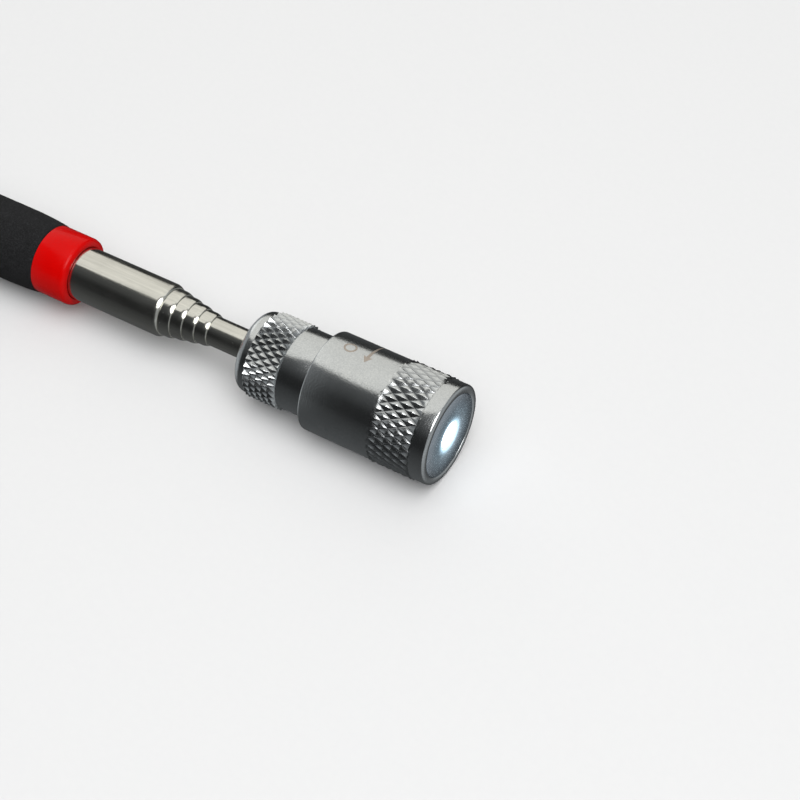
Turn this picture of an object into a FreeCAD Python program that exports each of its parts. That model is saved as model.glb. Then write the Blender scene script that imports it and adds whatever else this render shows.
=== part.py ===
"""Telescopic magnetic pick-up tool with a lamp in its head.

Lengths are in millimetres. The tool lies along X with its head towards +X and +Z up. While the pieces are
made, their own axis is the X axis and x = 0 is the flat front of the head, so the rest of the tool is at
negative x. The finished pieces are then moved so that the origin is under the middle of the closed tool, on
the surface that its widest part rests on.
"""
import FreeCAD, Part
import math
import os

# ---- Mast: the outer tube and the tubes that slide out of it ----
TUBE_COUNT = 6
OUTER_TUBE_OD = 10.1
OUTER_TUBE_WALL = 0.45
INNER_TUBE_WALL = 0.30
TUBE_GAP = 0.135            # radial gap between one tube's bore and the next tube
SWAGE_LENGTH = 1.1          # length of each tube's rolled-in front end
SWAGE_EDGE = 0.10           # thickness left at the tip of the rolled-in end
TUBE_STAGGER = 2.35         # how far each tube's front end stands out of the next larger one when closed
INNERMOST_SHOWING = 8.8     # bare length of the innermost tube behind the head when closed
OUTER_TUBE_SHOWING = 19.4   # bare length of the outer tube in front of the collar

# ---- Friction sleeves: split springy rings round each inner tube's rear end ----
SLEEVE_LENGTH = 5.0
SLEEVE_WALL = 0.22
SLEEVE_SPLIT = 0.8
TUBE_END_LIP = 0.8          # full-size lip behind the neck that keeps the sleeve on
NEST_GAP = 0.5              # axial gap between nested tube ends when closed

# ---- Handle ----
FOAM_WALL = 2.05
FOAM_LENGTH = 105.0
FOAM_PINCH = 0.45           # how much the foam is pulled in at the collar
FOAM_PINCH_LENGTH = 6.0
FOAM_END_ROUND = 1.0
COLLAR_WALL = 1.5
COLLAR_LENGTH = 7.3
COLLAR_LIP_ROUND = 1.05
COLLAR_MOUTH_ROUND = 0.25
CAP_FLANGE = 3.0
CAP_ROUND = 1.0
CAP_SPIGOT_LENGTH = 6.0
TAB_LENGTH = 9.0
TAB_RIM = 2.75              # material round the hanging hole
TAB_THICKNESS = 3.0
HANG_HOLE = 4.5

# ---- Head: lamp shell, magnet and lamp ----
SHELL_SKIRT_WALL = 1.55
SHELL_KNURL_HEIGHT = 0.25
SHELL_KNURL_SETBACK = 3.0   # plain band between the front rim and the knurl
SHELL_KNURL_LENGTH = 7.9
SHELL_RIM_CHAMFER = 0.4
RIM_WIDTH = 1.5             # ring of the shell round the magnet
MAGNET_THICKNESS = 5.0
WEB_THICKNESS = 1.6         # wall of the shell that the magnet sits on
LED_LENS = 5.0
LED_SETBACK = 0.15          # lens tip behind the magnet's face
LED_FLANGE_WIDTH = 0.4      # how far the lamp's flange stands out of its lens
LED_FLANGE_THICKNESS = 1.0
LEAD_WIRE = 0.5
LEAD_PITCH = 2.54
RESISTOR_OD = 1.8
RESISTOR_LENGTH = 3.4
HOLDER_STEP = 0.52          # the holder's seat is this much smaller than the thread's bore
HOLDER_LENGTH = 6.4
CONTACT_DISC_OD = 8.0
CONTACT_DISC_THICKNESS = 0.4

# ---- Battery barrel ----
BARREL_STEP = 0.53          # from the thread's crests up to the barrel's outside
BARREL_KNURL_HEIGHT = 0.50
BARREL_KNURL_LENGTH = 6.3
BARREL_END_ROUND = 1.5
BARREL_END_BAND = 2.5       # plain length behind the knurl
CELL_OD = 11.6
CELL_HEIGHT = 5.4
CELL_COUNT = 3
CELL_SLEEVE_WALL = 0.22
CHAMBER_WALL = 0.95         # wall between the battery chamber and the thread's crests
SPRING_WIRE = 0.5
SPRING_HEIGHT = 3.0
SPRING_TURNS = 3
SPRING_NARROW_END = 2.2     # radius of the coil that meets the cell
BARREL_FLOOR = 1.4
SOCKET_DEPTH = 5.5          # how deep the innermost tube goes into the barrel
THREAD_PITCH = 1.0
THREAD_DEPTH = 0.45
THREAD_TURNS = 5            # turns from tight to free
THREAD_RELIEF = 3.1         # plain neck between the thread and the barrel's shoulder
CELLS_STAND_OUT = 1.0       # how far the front cell stands out of the barrel
SKIRT_DEPTH = 2.9           # how far the shell reaches back over the barrel
O_RING_WIRE = 0.9
O_RING_SETBACK = 0.7        # from the barrel's shoulder to the groove

# ---- Fits: radial, or axial where so named ----
SLIDE_FIT = 0.05            # a surface that slides or turns on another body
SWIVEL_FIT = 0.04           # the innermost tube turning in its friction sleeve
SEAT_FIT = 0.02             # pieces of one body that sit in or on each other
CELL_FIT = 0.05             # a cell in its sleeve, and the sleeve in its chamber
SKIRT_FIT = 0.10            # the lamp shell's skirt round the barrel
LENS_FIT = 0.10             # the lamp's lens in the magnet and the web
STOP_GAP = 0.20             # axial gap left at every end stop
TIGHT_GAP = 0.10            # axial gap at the barrel's shoulder with the lamp screwed home
SMALL_CHAMFER = 0.3


# ---- Sizes that follow from the ones above ----
def radius(diameter):
    return diameter / 2.0


tube_wall = [OUTER_TUBE_WALL] + [INNER_TUBE_WALL] * (TUBE_COUNT - 1)
tube_r = [radius(OUTER_TUBE_OD)]
for wall in tube_wall[:-1]:
    tube_r.append(tube_r[-1] - wall - TUBE_GAP)
bore_r = [r - wall for r, wall in zip(tube_r, tube_wall)]
sleeve_r = [None] + [bore - SLIDE_FIT for bore in bore_r[:-1]]
neck_length = TUBE_END_LIP + SLEEVE_LENGTH + INNER_TUBE_WALL
nest_step = neck_length + NEST_GAP

foam_r = tube_r[0] + FOAM_WALL
collar_r = tube_r[0] + COLLAR_WALL
tab_width = HANG_HOLE + 2.0 * TAB_RIM

cell_r = radius(CELL_OD)
cell_sleeve_r = cell_r + CELL_FIT + CELL_SLEEVE_WALL
chamber_r = cell_sleeve_r + CELL_FIT
thread_r = chamber_r + CHAMBER_WALL
thread_root_r = thread_r - THREAD_DEPTH
thread_bore_r = thread_r + SLIDE_FIT
barrel_r = thread_r + BARREL_STEP
barrel_knurl_r = barrel_r + BARREL_KNURL_HEIGHT
skirt_bore_r = barrel_r + SKIRT_FIT
shell_r = skirt_bore_r + SHELL_SKIRT_WALL
shell_knurl_r = shell_r + SHELL_KNURL_HEIGHT
magnet_r = shell_r - RIM_WIDTH
holder_r = thread_bore_r - HOLDER_STEP
lens_bore_r = radius(LED_LENS) + LENS_FIT
led_flange_r = radius(LED_LENS) + LED_FLANGE_WIDTH
thread_travel = THREAD_PITCH * THREAD_TURNS

# Places along the axis, from the front of the head backwards.
x_magnet_back = -MAGNET_THICKNESS
x_web_back = x_magnet_back - WEB_THICKNESS
x_holder_back = x_web_back - HOLDER_LENGTH
x_lead_bend = x_web_back - LED_FLANGE_THICKNESS - 2.0
x_resistor_front = x_holder_back + 0.6 + RESISTOR_LENGTH
x_cells_front = x_holder_back - CONTACT_DISC_THICKNESS
x_cells_back = x_cells_front - CELL_COUNT * CELL_HEIGHT
x_barrel_front = x_cells_front - CELLS_STAND_OUT
x_thread_back = x_barrel_front - (THREAD_TURNS - 0.5) * THREAD_PITCH
x_shoulder = x_thread_back - THREAD_RELIEF
x_shell_back = x_shoulder - SKIRT_DEPTH
x_groove_front = x_shoulder - O_RING_SETBACK
x_groove_back = x_groove_front - 1.25 * O_RING_WIRE
x_floor = x_cells_back - SPRING_HEIGHT
x_socket_front = x_floor - BARREL_FLOOR
x_barrel_back = x_socket_front - SOCKET_DEPTH

x_tube_front = [0.0] * TUBE_COUNT
x_tube_front[-1] = x_socket_front
x_tube_front[-2] = x_barrel_back - INNERMOST_SHOWING
for i in range(TUBE_COUNT - 3, -1, -1):
    x_tube_front[i] = x_tube_front[i + 1] - TUBE_STAGGER
x_collar_front = x_tube_front[0] - OUTER_TUBE_SHOWING
x_foam_front = x_collar_front - COLLAR_LENGTH
x_foam_back = x_foam_front - FOAM_LENGTH
x_spigot_front = x_foam_back + CAP_SPIGOT_LENGTH
x_cap_back = x_foam_back - CAP_FLANGE
x_tool_back = x_cap_back - TAB_LENGTH
x_tube_back = [x_foam_back]
for i in range(1, TUBE_COUNT):
    x_tube_back.append(x_spigot_front + NEST_GAP + (i - 1) * nest_step)

CLOSED_LENGTH = -x_tool_back
axis_height = shell_knurl_r
TO_ROW_FRAME = FreeCAD.Vector(CLOSED_LENGTH / 2.0, 0.0, axis_height)
X_AXIS = FreeCAD.Vector(1.0, 0.0, 0.0)
Z_AXIS = FreeCAD.Vector(0.0, 0.0, 1.0)


# ---- Shapes ----
def turned(outline):
    """Revolve a closed outline about the X axis.

    An entry (x, r) is a corner. An entry ((x, r), (x, r)) bends through its first point to its second.
    """
    def at(point):
        return FreeCAD.Vector(point[0], 0.0, point[1])

    edges = []
    here = outline[0]
    for entry in outline[1:] + [outline[0]]:
        if isinstance(entry[0], tuple):
            through, there = entry
            edges.append(Part.Arc(at(here), at(through), at(there)).toShape())
        else:
            there = entry
            edges.append(Part.makeLine(at(here), at(there)))
        here = there
    face = Part.Face(Part.Wire(edges))
    return face.revolve(FreeCAD.Vector(), X_AXIS, 360)


def rod(r, x_back, x_front, y=0.0):
    """A solid cylinder along X between two places."""
    return Part.makeCylinder(r, x_front - x_back, FreeCAD.Vector(x_back, y, 0.0), X_AXIS)


def tube(r_out, r_in, x_back, x_front):
    """A plain tube along X between two places."""
    return turned([(x_back, r_in), (x_front, r_in), (x_front, r_out), (x_back, r_out)])


def round_corner(corner, size, x_way, r_way):
    """Points of a quarter round on a turned corner: where it starts on the end face, and its arc.

    x_way is +1 where the face looks forwards; r_way is +1 on an outside edge and -1 on a mouth.
    """
    x, r = corner
    centre = (x - x_way * size, r - r_way * size)
    half = size * math.sqrt(0.5)
    on_face = (x, centre[1])
    through = (centre[0] + x_way * half, centre[1] + r_way * half)
    on_side = (centre[0], r)
    return on_face, through, on_side


def swage_arc(r, x_front, r_tip):
    """The rolled-in end: an arc that leaves the tube's side smoothly and reaches r_tip at x_front."""
    drop = r - r_tip
    bend = (SWAGE_LENGTH ** 2 + drop ** 2) / (2.0 * drop)
    half_angle = math.asin(SWAGE_LENGTH / bend) / 2.0
    start = (x_front - SWAGE_LENGTH, r)
    through = (start[0] + bend * math.sin(half_angle), r - bend * (1.0 - math.cos(half_angle)))
    return start, through


def mast_tube(i):
    """Tube i of the mast, counted from 0, the outer one."""
    back, front = x_tube_back[i], x_tube_front[i]
    r, bore = tube_r[i], bore_r[i]
    if i == 0:
        outside = [(back, bore), (back, r)]
        inside = []
    else:
        neck_r = sleeve_r[i] - SLEEVE_WALL - (SWIVEL_FIT if i == TUBE_COUNT - 1 else SEAT_FIT)
        neck_bore = neck_r - tube_wall[i]
        neck_back = back + TUBE_END_LIP
        neck_front = neck_back + SLEEVE_LENGTH + SEAT_FIT
        outside = [(back, neck_bore), (back, r), (neck_back, r), (neck_back, neck_r),
                   (neck_front, neck_r), (neck_front, r)]
        inside = [(neck_front + tube_wall[i], bore), (neck_front + tube_wall[i], neck_bore)]
    if i == TUBE_COUNT - 1:
        end = [(front, r), (front, bore)]
    else:
        mouth = tube_r[i + 1] + SLIDE_FIT
        tip = mouth + SWAGE_EDGE
        start, through = swage_arc(r, front, tip)
        end = [start, (through, (front, tip)), (front, mouth), (front - SWAGE_LENGTH, mouth),
               (front - SWAGE_LENGTH, bore)]
    return turned(outside + end + inside)


def friction_sleeve(i):
    """The split ring on tube i's neck."""
    back = x_tube_back[i] + TUBE_END_LIP
    whole = tube(sleeve_r[i], sleeve_r[i] - SLEEVE_WALL, back, back + SLEEVE_LENGTH)
    slot = Part.makeBox(SLEEVE_LENGTH + 2.0, SLEEVE_SPLIT, sleeve_r[i] + 1.0,
                        FreeCAD.Vector(back - 1.0, -SLEEVE_SPLIT / 2.0, 0.0))
    return whole.cut(slot)


def foam_grip():
    r, bore = foam_r, tube_r[0] + SEAT_FIT
    pinched = r - FOAM_PINCH
    pinch_back = x_foam_front - FOAM_PINCH_LENGTH
    through = (x_foam_front - 0.35 * FOAM_PINCH_LENGTH, r - 0.42 * FOAM_PINCH)
    on_face, arc, on_side = round_corner((x_foam_back, r), FOAM_END_ROUND, -1, 1)
    return turned([(x_foam_back, bore), on_face, (arc, on_side), (pinch_back, r),
                   (through, (x_foam_front, pinched)), (x_foam_front, bore)])


def front_collar():
    r, bore = collar_r, tube_r[0] + SEAT_FIT
    lip_face, lip_arc, lip_side = round_corner((x_collar_front, r), COLLAR_LIP_ROUND, 1, 1)
    mouth_face, mouth_arc, mouth_side = round_corner((x_collar_front, bore), COLLAR_MOUTH_ROUND, 1, -1)
    return turned([(x_foam_front, bore), (x_foam_front, r), lip_side, (lip_arc, lip_face),
                   mouth_face, (mouth_arc, mouth_side)])


def end_cap():
    """Plug, flange and flat tab with the hanging hole."""
    r = foam_r
    on_face, arc, on_side = round_corner((x_cap_back, r), CAP_ROUND, -1, 1)
    body = turned([(x_cap_back, 0.0), on_face, (arc, on_side), (x_foam_back, r),
                   (x_foam_back, bore_r[0] - SEAT_FIT), (x_spigot_front, bore_r[0] - SEAT_FIT),
                   (x_spigot_front, 0.0)])
    end_r = tab_width / 2.0
    x_hole = x_tool_back + end_r
    low = -TAB_THICKNESS / 2.0
    plate = Part.makeBox(x_cap_back + 0.5 - x_hole, tab_width, TAB_THICKNESS, FreeCAD.Vector(x_hole, -end_r, low))
    end = Part.makeCylinder(end_r, TAB_THICKNESS, FreeCAD.Vector(x_hole, 0.0, low), Z_AXIS)
    hole = Part.makeCylinder(radius(HANG_HOLE), TAB_THICKNESS + 2.0, FreeCAD.Vector(x_hole, 0.0, low - 1.0), Z_AXIS)
    return body.fuse([plate, end]).removeSplitter().cut(hole)


def thread_outline():
    """Ridges of the barrel's thread, as corners from its back end to its front."""
    corners = []
    half = THREAD_PITCH / 2.0
    x = x_thread_back
    while x + THREAD_PITCH <= x_barrel_front + 1e-6:
        corners += [(x, thread_root_r), (x + 0.8 * half, thread_r), (x + 1.2 * half, thread_r)]
        x += THREAD_PITCH
    return corners + [(x_barrel_front, thread_root_r)]


def battery_barrel():
    knurl_r = barrel_knurl_r
    x_knurl_back = x_barrel_back + BARREL_END_BAND
    x_knurl_front = x_knurl_back + BARREL_KNURL_LENGTH
    socket_r = tube_r[-1] + SEAT_FIT
    groove_r = skirt_bore_r - SEAT_FIT - O_RING_WIRE
    step = BARREL_KNURL_HEIGHT
    on_face, arc, on_side = round_corner((x_barrel_back, barrel_r), BARREL_END_ROUND, -1, 1)
    outside = [(x_barrel_back, socket_r), on_face, (arc, on_side), (x_knurl_back, barrel_r),
               (x_knurl_back + step, knurl_r), (x_knurl_front - step, knurl_r), (x_knurl_front, barrel_r),
               (x_groove_back, barrel_r), (x_groove_back, groove_r), (x_groove_front, groove_r),
               (x_groove_front, barrel_r), (x_shoulder, barrel_r), (x_shoulder, thread_root_r)]
    inside = [(x_barrel_front, chamber_r), (x_floor, chamber_r), (x_floor, 0.0), (x_socket_front, 0.0),
              (x_socket_front, socket_r)]
    return turned(outside + thread_outline() + inside)


def lamp_shell():
    r, knurl_r = shell_r, shell_knurl_r
    x_knurl_front = -SHELL_KNURL_SETBACK
    x_knurl_back = x_knurl_front - SHELL_KNURL_LENGTH
    step = SHELL_KNURL_HEIGHT
    pocket_r = magnet_r + SEAT_FIT
    holder_bore = holder_r + SEAT_FIT
    x_thread_mouth = x_barrel_front + 2.0 * STOP_GAP
    x_step = x_shoulder + TIGHT_GAP
    outside = [(x_shell_back, r - SMALL_CHAMFER), (x_shell_back + SMALL_CHAMFER, r), (x_knurl_back, r),
               (x_knurl_back + step, knurl_r), (x_knurl_front - step, knurl_r), (x_knurl_front, r),
               (-SHELL_RIM_CHAMFER, r), (0.0, r - SHELL_RIM_CHAMFER)]
    inside = [(0.0, pocket_r), (x_magnet_back, pocket_r), (x_magnet_back, lens_bore_r),
              (x_web_back, lens_bore_r), (x_web_back, holder_bore), (x_thread_mouth, holder_bore),
              (x_thread_mouth, thread_bore_r), (x_step, thread_bore_r), (x_step, skirt_bore_r),
              (x_shell_back, skirt_bore_r)]
    return turned(outside + inside)


def led():
    """Round-topped lens on a flange."""
    r = radius(LED_LENS)
    tip = -LED_SETBACK
    x_side = tip - r
    flange_back = x_web_back - LED_FLANGE_THICKNESS - SEAT_FIT
    half = r * math.sqrt(0.5)
    return turned([(flange_back, 0.0), (flange_back, led_flange_r), (x_web_back - SEAT_FIT, led_flange_r),
                   (x_web_back - SEAT_FIT, r), (x_side, r), ((x_side + half, half), (tip, 0.0))])


def led_holder():
    """Insulating bush: a pocket for the lamp's flange, a hole for the resistor and a slot for the other lead."""
    bush = rod(holder_r, x_holder_back, x_web_back)
    pocket = rod(led_flange_r + SEAT_FIT, x_web_back - LED_FLANGE_THICKNESS - 2 * SEAT_FIT, x_web_back + 1.0)
    resistor_hole = rod(radius(RESISTOR_OD) + SLIDE_FIT, x_holder_back - 1.0, x_web_back - 0.5, LEAD_PITCH / 2.0)
    slot_half = radius(LEAD_WIRE) + SLIDE_FIT
    slot_long = x_web_back - 0.5 - (x_lead_bend - slot_half)
    slot_deep = holder_r + 1.0 - LEAD_PITCH / 2.0 + slot_half
    slot_corner = FreeCAD.Vector(x_lead_bend - slot_half, -holder_r - 1.0, -slot_half)
    slot = Part.makeBox(slot_long, slot_deep, 2.0 * slot_half, slot_corner)
    return bush.cut([pocket, resistor_hole, slot])


def led_leads():
    """One lead runs through the resistor to the contact disc; the other bends out to the shell."""
    r = radius(LEAD_WIRE)
    y = LEAD_PITCH / 2.0
    lamp_back = x_web_back - LED_FLANGE_THICKNESS - SEAT_FIT
    to_resistor = rod(r, x_resistor_front, lamp_back, y)
    to_disc = rod(r, x_holder_back, x_resistor_front - RESISTOR_LENGTH, y)
    along = rod(r, x_lead_bend, lamp_back, -y)
    reach = holder_r - y
    across = Part.makeCylinder(r, reach, FreeCAD.Vector(x_lead_bend, -y, 0.0), FreeCAD.Vector(0.0, -1.0, 0.0))
    knuckle = Part.makeSphere(r, FreeCAD.Vector(x_lead_bend, -y, 0.0))
    return Part.makeCompound([to_resistor, to_disc, along.fuse([across, knuckle]).removeSplitter()])


def contact_spring():
    """Conical coil: its wide end on the barrel's floor, its narrow end on the last cell."""
    wide = chamber_r - SPRING_WIRE
    rise = SPRING_HEIGHT - SPRING_WIRE - 2.0 * SEAT_FIT
    angle = math.atan2(wide - SPRING_NARROW_END, rise)
    slant = rise / math.cos(angle)      # a conical helix takes its height and pitch along the slant
    path = Part.makeHelix(slant / SPRING_TURNS, slant, SPRING_NARROW_END, math.degrees(angle))
    first = path.Edges[0]
    start, along = first.valueAt(first.FirstParameter), first.tangentAt(first.FirstParameter)
    section = Part.Wire(Part.makeCircle(radius(SPRING_WIRE), start, along))
    coil = Part.Wire(path.Edges).makePipeShell([section], True, True)
    coil.rotate(FreeCAD.Vector(), FreeCAD.Vector(0.0, 1.0, 0.0), -90)
    coil.translate(FreeCAD.Vector(x_cells_back - radius(SPRING_WIRE) - SEAT_FIT, 0.0, 0.0))
    return coil


def cell(k):
    """Button cell k, counted from the front: a can with a smaller raised button at its front."""
    front = x_cells_front - k * CELL_HEIGHT
    button = 0.25
    return turned([(front - CELL_HEIGHT, 0.0), (front - CELL_HEIGHT, cell_r - SMALL_CHAMFER),
                   (front - CELL_HEIGHT + SMALL_CHAMFER, cell_r), (front - button - SMALL_CHAMFER, cell_r),
                   (front - button, cell_r - SMALL_CHAMFER), (front - button, cell_r - 1.0),
                   (front, cell_r - 1.2), (front, 0.0)])


def o_ring():
    x = (x_groove_front + x_groove_back) / 2.0
    mean_r = skirt_bore_r - SEAT_FIT - radius(O_RING_WIRE)
    return Part.makeTorus(mean_r, radius(O_RING_WIRE) - SEAT_FIT, FreeCAD.Vector(x, 0.0, 0.0), X_AXIS)


nodes = {
    "outer_tube": mast_tube(0),
    "foam_grip": foam_grip(),
    "front_collar": front_collar(),
    "end_cap": end_cap(),
    "battery_barrel": battery_barrel(),
    "contact_spring": contact_spring(),
    "cell_sleeve": tube(cell_sleeve_r, cell_r + CELL_FIT, x_cells_back - 1.0, x_barrel_front - 1.0),
    "o_ring": o_ring(),
    "lamp_shell": lamp_shell(),
    "magnet_ring": tube(magnet_r, lens_bore_r, x_magnet_back, 0.0),
    "led": led(),
    "led_holder": led_holder(),
    "led_leads": led_leads(),
    "resistor": rod(radius(RESISTOR_OD), x_resistor_front - RESISTOR_LENGTH, x_resistor_front, LEAD_PITCH / 2.0),
    "contact_disc": rod(radius(CONTACT_DISC_OD), x_cells_front, x_holder_back),
}
for i in range(1, TUBE_COUNT):
    nodes["tube_%d" % (i + 1)] = mast_tube(i)
    nodes["friction_sleeve_%d" % (i + 1)] = friction_sleeve(i)
for k in range(CELL_COUNT):
    nodes["cell_%d" % (k + 1)] = cell(k)

# ---- Export ----
os.makedirs("parts", exist_ok=True)
for name, shape in nodes.items():
    placed = shape.copy()
    placed.translate(TO_ROW_FRAME)
    placed.exportStep("parts/%s.step" % name)
    print("%-18s solids %d  valid %s  volume %9.2f mm3" % (name, len(placed.Solids), placed.isValid(), placed.Volume))

# ---- What the joints and mounts need, in the row frame ----
print("closed length", round(CLOSED_LENGTH, 3), " axis height", axis_height)
print("tube outside radii", [round(r, 3) for r in tube_r])
for i in range(1, TUBE_COUNT):
    sleeve_front = x_tube_back[i] + TUBE_END_LIP + SLEEVE_LENGTH
    stroke = x_tube_front[i - 1] - SWAGE_LENGTH - sleeve_front - STOP_GAP
    print("stroke of tube_%d: %.3f" % (i + 1, stroke))
print("lamp travel", thread_travel, "over", 360 * THREAD_TURNS, "degrees")
print("hanging hole centre x", round(x_tool_back + tab_width / 2.0 + TO_ROW_FRAME.x, 3), " z", axis_height)
print("foam cylinder x from", round(x_foam_back + FOAM_END_ROUND + TO_ROW_FRAME.x, 3),
      "to", round(x_foam_front - FOAM_PINCH_LENGTH + TO_ROW_FRAME.x, 3))
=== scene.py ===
# %% [markdown]
# # A telescopic magnetic pick-up tool
#
# The tool has a foam-covered handle, a mast of six nested tubes, a knurled battery barrel and a lamp head with a
# ring magnet. The measured model is loaded first as a fixed frame. Every piece made below takes its place from
# that frame, so nothing has to be fitted by eye afterwards.

# %% Load the frame
import math

import bmesh
import bpy
from mathutils import Matrix, Vector, noise


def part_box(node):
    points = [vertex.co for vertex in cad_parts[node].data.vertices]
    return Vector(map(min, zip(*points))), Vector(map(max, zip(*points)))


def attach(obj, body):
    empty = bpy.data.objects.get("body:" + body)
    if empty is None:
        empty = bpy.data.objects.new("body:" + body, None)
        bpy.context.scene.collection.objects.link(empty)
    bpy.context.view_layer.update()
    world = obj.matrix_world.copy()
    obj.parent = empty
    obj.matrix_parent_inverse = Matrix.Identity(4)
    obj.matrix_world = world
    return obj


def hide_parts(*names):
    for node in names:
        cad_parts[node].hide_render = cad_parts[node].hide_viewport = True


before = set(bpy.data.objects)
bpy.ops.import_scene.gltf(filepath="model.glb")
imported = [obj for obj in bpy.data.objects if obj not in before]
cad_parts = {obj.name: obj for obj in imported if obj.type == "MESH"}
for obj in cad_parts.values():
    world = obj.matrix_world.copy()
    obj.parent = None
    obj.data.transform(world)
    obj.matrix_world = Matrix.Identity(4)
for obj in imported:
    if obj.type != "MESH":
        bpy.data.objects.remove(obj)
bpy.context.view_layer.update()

MM = 0.001

# %% [markdown]
# ## Where things are
#
# Each node's box gives its length along the mast and its diameter. The mast's axis runs along X at one height, so
# a turned piece only needs places along X and radii. Both are read here once and used by name below.


# %% Places and radii from the frame
def span(node):
    """Back and front of a node along the mast, and its outside radius."""
    low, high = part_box(node)
    return low[0], high[0], (high[2] - low[2]) / 2


SHELL_BACK, HEAD_FRONT, SHELL_KNURL_R = span("lamp_shell")
BARREL_BACK, BARREL_FRONT, BARREL_KNURL_R = span("battery_barrel")
MAGNET_BACK, MAGNET_FRONT, MAGNET_R = span("magnet_ring")
COLLAR_BACK, COLLAR_FRONT, COLLAR_R = span("front_collar")
FOAM_BACK, FOAM_FRONT, FOAM_R = span("foam_grip")
CAP_BACK, CAP_FRONT, CAP_R = span("end_cap")
AXIS_Z = (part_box("lamp_shell")[0][2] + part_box("lamp_shell")[1][2]) / 2
AXIS = Vector((0.0, 0.0, AXIS_Z))
print("axis height %.2f mm, head front at x = %.2f mm" % (AXIS_Z / MM, HEAD_FRONT / MM))

# %% [markdown]
# ## Turning
#
# Nearly every piece of the tool is round about one axis, as if it came off a lathe. The outline of half of it is
# drawn as a chain of edges and spun through a full turn. Corners are rounded afterwards with the bevel operator on
# the rings they left, which gives an even radius all the way round. The ends of the spin are merged, points on the
# axis are welded, and the normals are made to face outwards.

# %% Helpers for turned pieces
SMOOTH_LIMIT = math.radians(38)
ROUND_STEPS = 136
WELD = 1e-7                 # points nearer than this, in metres, are one point
SEAM_WELD = 1e-6            # the same where a flat grid is rolled up
SEAT_FIT = 0.02 * MM        # between pieces that sit in or on each other
SLIDE_FIT = 0.05 * MM       # between pieces that slide or turn


def chain(bm, corners, closed=True):
    """A chain of edges through (x, r) corners, in the plane above the mast's axis."""
    points = [bm.verts.new((x, 0.0, r)) for x, r in corners]
    pairs = list(zip(points, points[1:]))
    if closed:
        pairs.append((points[-1], points[0]))
    off_axis = [pair for pair in pairs if pair[0].co.z > 0 or pair[1].co.z > 0]
    return points + [bm.edges.new(pair) for pair in off_axis]


def spin(bm, geometry, steps=ROUND_STEPS):
    """A full turn about the X axis."""
    bmesh.ops.spin(bm, geom=geometry, cent=(0, 0, 0), axis=(1, 0, 0), dvec=(0, 0, 0), angle=2 * math.pi,
                   steps=steps, use_merge=True, use_duplicate=False)
    bmesh.ops.remove_doubles(bm, verts=bm.verts[:], dist=WELD)


def ring_edges(bm, x, r):
    """The edges of the ring that a corner left."""
    def on_ring(vertex):
        return abs(vertex.co.x - x) < WELD and abs(math.hypot(vertex.co.y, vertex.co.z) - r) < WELD
    return [edge for edge in bm.edges if on_ring(edge.verts[0]) and on_ring(edge.verts[1])]


def only(kind, items):
    """Those of an operator's results that are of one kind."""
    return [item for item in items if isinstance(item, kind)]


def add_to(bm, part):
    """Puts one bmesh into another and frees it."""
    mesh = bpy.data.meshes.new("part")
    part.to_mesh(mesh)
    part.free()
    bm.from_mesh(mesh)
    bpy.data.meshes.remove(mesh)


def soften(bm, edges, radius, segments=3):
    """Rounds edges to a radius."""
    bmesh.ops.bevel(bm, geom=edges, offset=radius, offset_type="OFFSET", segments=segments, profile=0.5,
                    affect="EDGES", material=-1, clamp_overlap=True)


def finished(bm, name, body, *nodes, slot=None):
    """The mesh as an object in the row frame, riding on its body and standing for its nodes."""
    bmesh.ops.dissolve_degenerate(bm, dist=WELD, edges=bm.edges[:])
    bmesh.ops.recalc_face_normals(bm, faces=bm.faces[:])
    if bm.calc_volume(signed=True) < 0:     # a thin curved slab can come out inside out
        bmesh.ops.reverse_faces(bm, faces=bm.faces[:])
    bmesh.ops.translate(bm, verts=bm.verts[:], vec=AXIS)
    mesh = bpy.data.meshes.new(name)
    bm.to_mesh(mesh)
    bm.free()
    for face in mesh.polygons:
        face.use_smooth = True
    mesh.set_sharp_from_angle(angle=SMOOTH_LIMIT)
    piece = bpy.data.objects.new(name, mesh)
    bpy.context.scene.collection.objects.link(piece)
    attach(piece, body)
    if nodes:
        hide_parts(*nodes)
    print("%-18s %6d faces on %s" % (name, len(mesh.polygons), body))
    return piece


def turned(name, body, corners, rounds, *nodes, slot=None):
    """A solid of revolution. rounds gives the radius of each corner that isn't sharp, by its number."""
    bm = bmesh.new()
    spin(bm, chain(bm, corners))
    for corner, radius in rounds.items():
        soften(bm, ring_edges(bm, *corners[corner]), radius)
    return finished(bm, name, body, *nodes, slot=slot)


print("%d steps in a full turn, sharp above %d degrees" % (ROUND_STEPS, round(math.degrees(SMOOTH_LIMIT))))


# %% [markdown]
# ## The knurl
#
# A knurl is two sets of spiral V-grooves that cross and leave rows of small pyramids. Unrolled, it is a grid of
# rectangles in which every second corner is a peak. Each rectangle is split along the diagonal between its two low
# corners, and that diagonal is the bottom of a groove. So a plain grid, one split per face and a lift of every
# second corner give the exact pattern, and its border points fall evenly round the bar, which lets the band be
# joined to the plain surfaces beside it. The tips of the pyramids are cut a little flat, as rolling leaves them.

# %% Knurled band
KNURL_TEETH = 34            # pyramids round the bar
KNURL_COLUMNS = 5           # rectangles along the bar
KNURL_DEPTH = 0.50 * MM
KNURL_TIP = 0.13 * MM       # how far the cut at a tip reaches down its edges
RUN_OUT = 0.16 * MM         # length over which the knurl meets the plain surface


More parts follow.
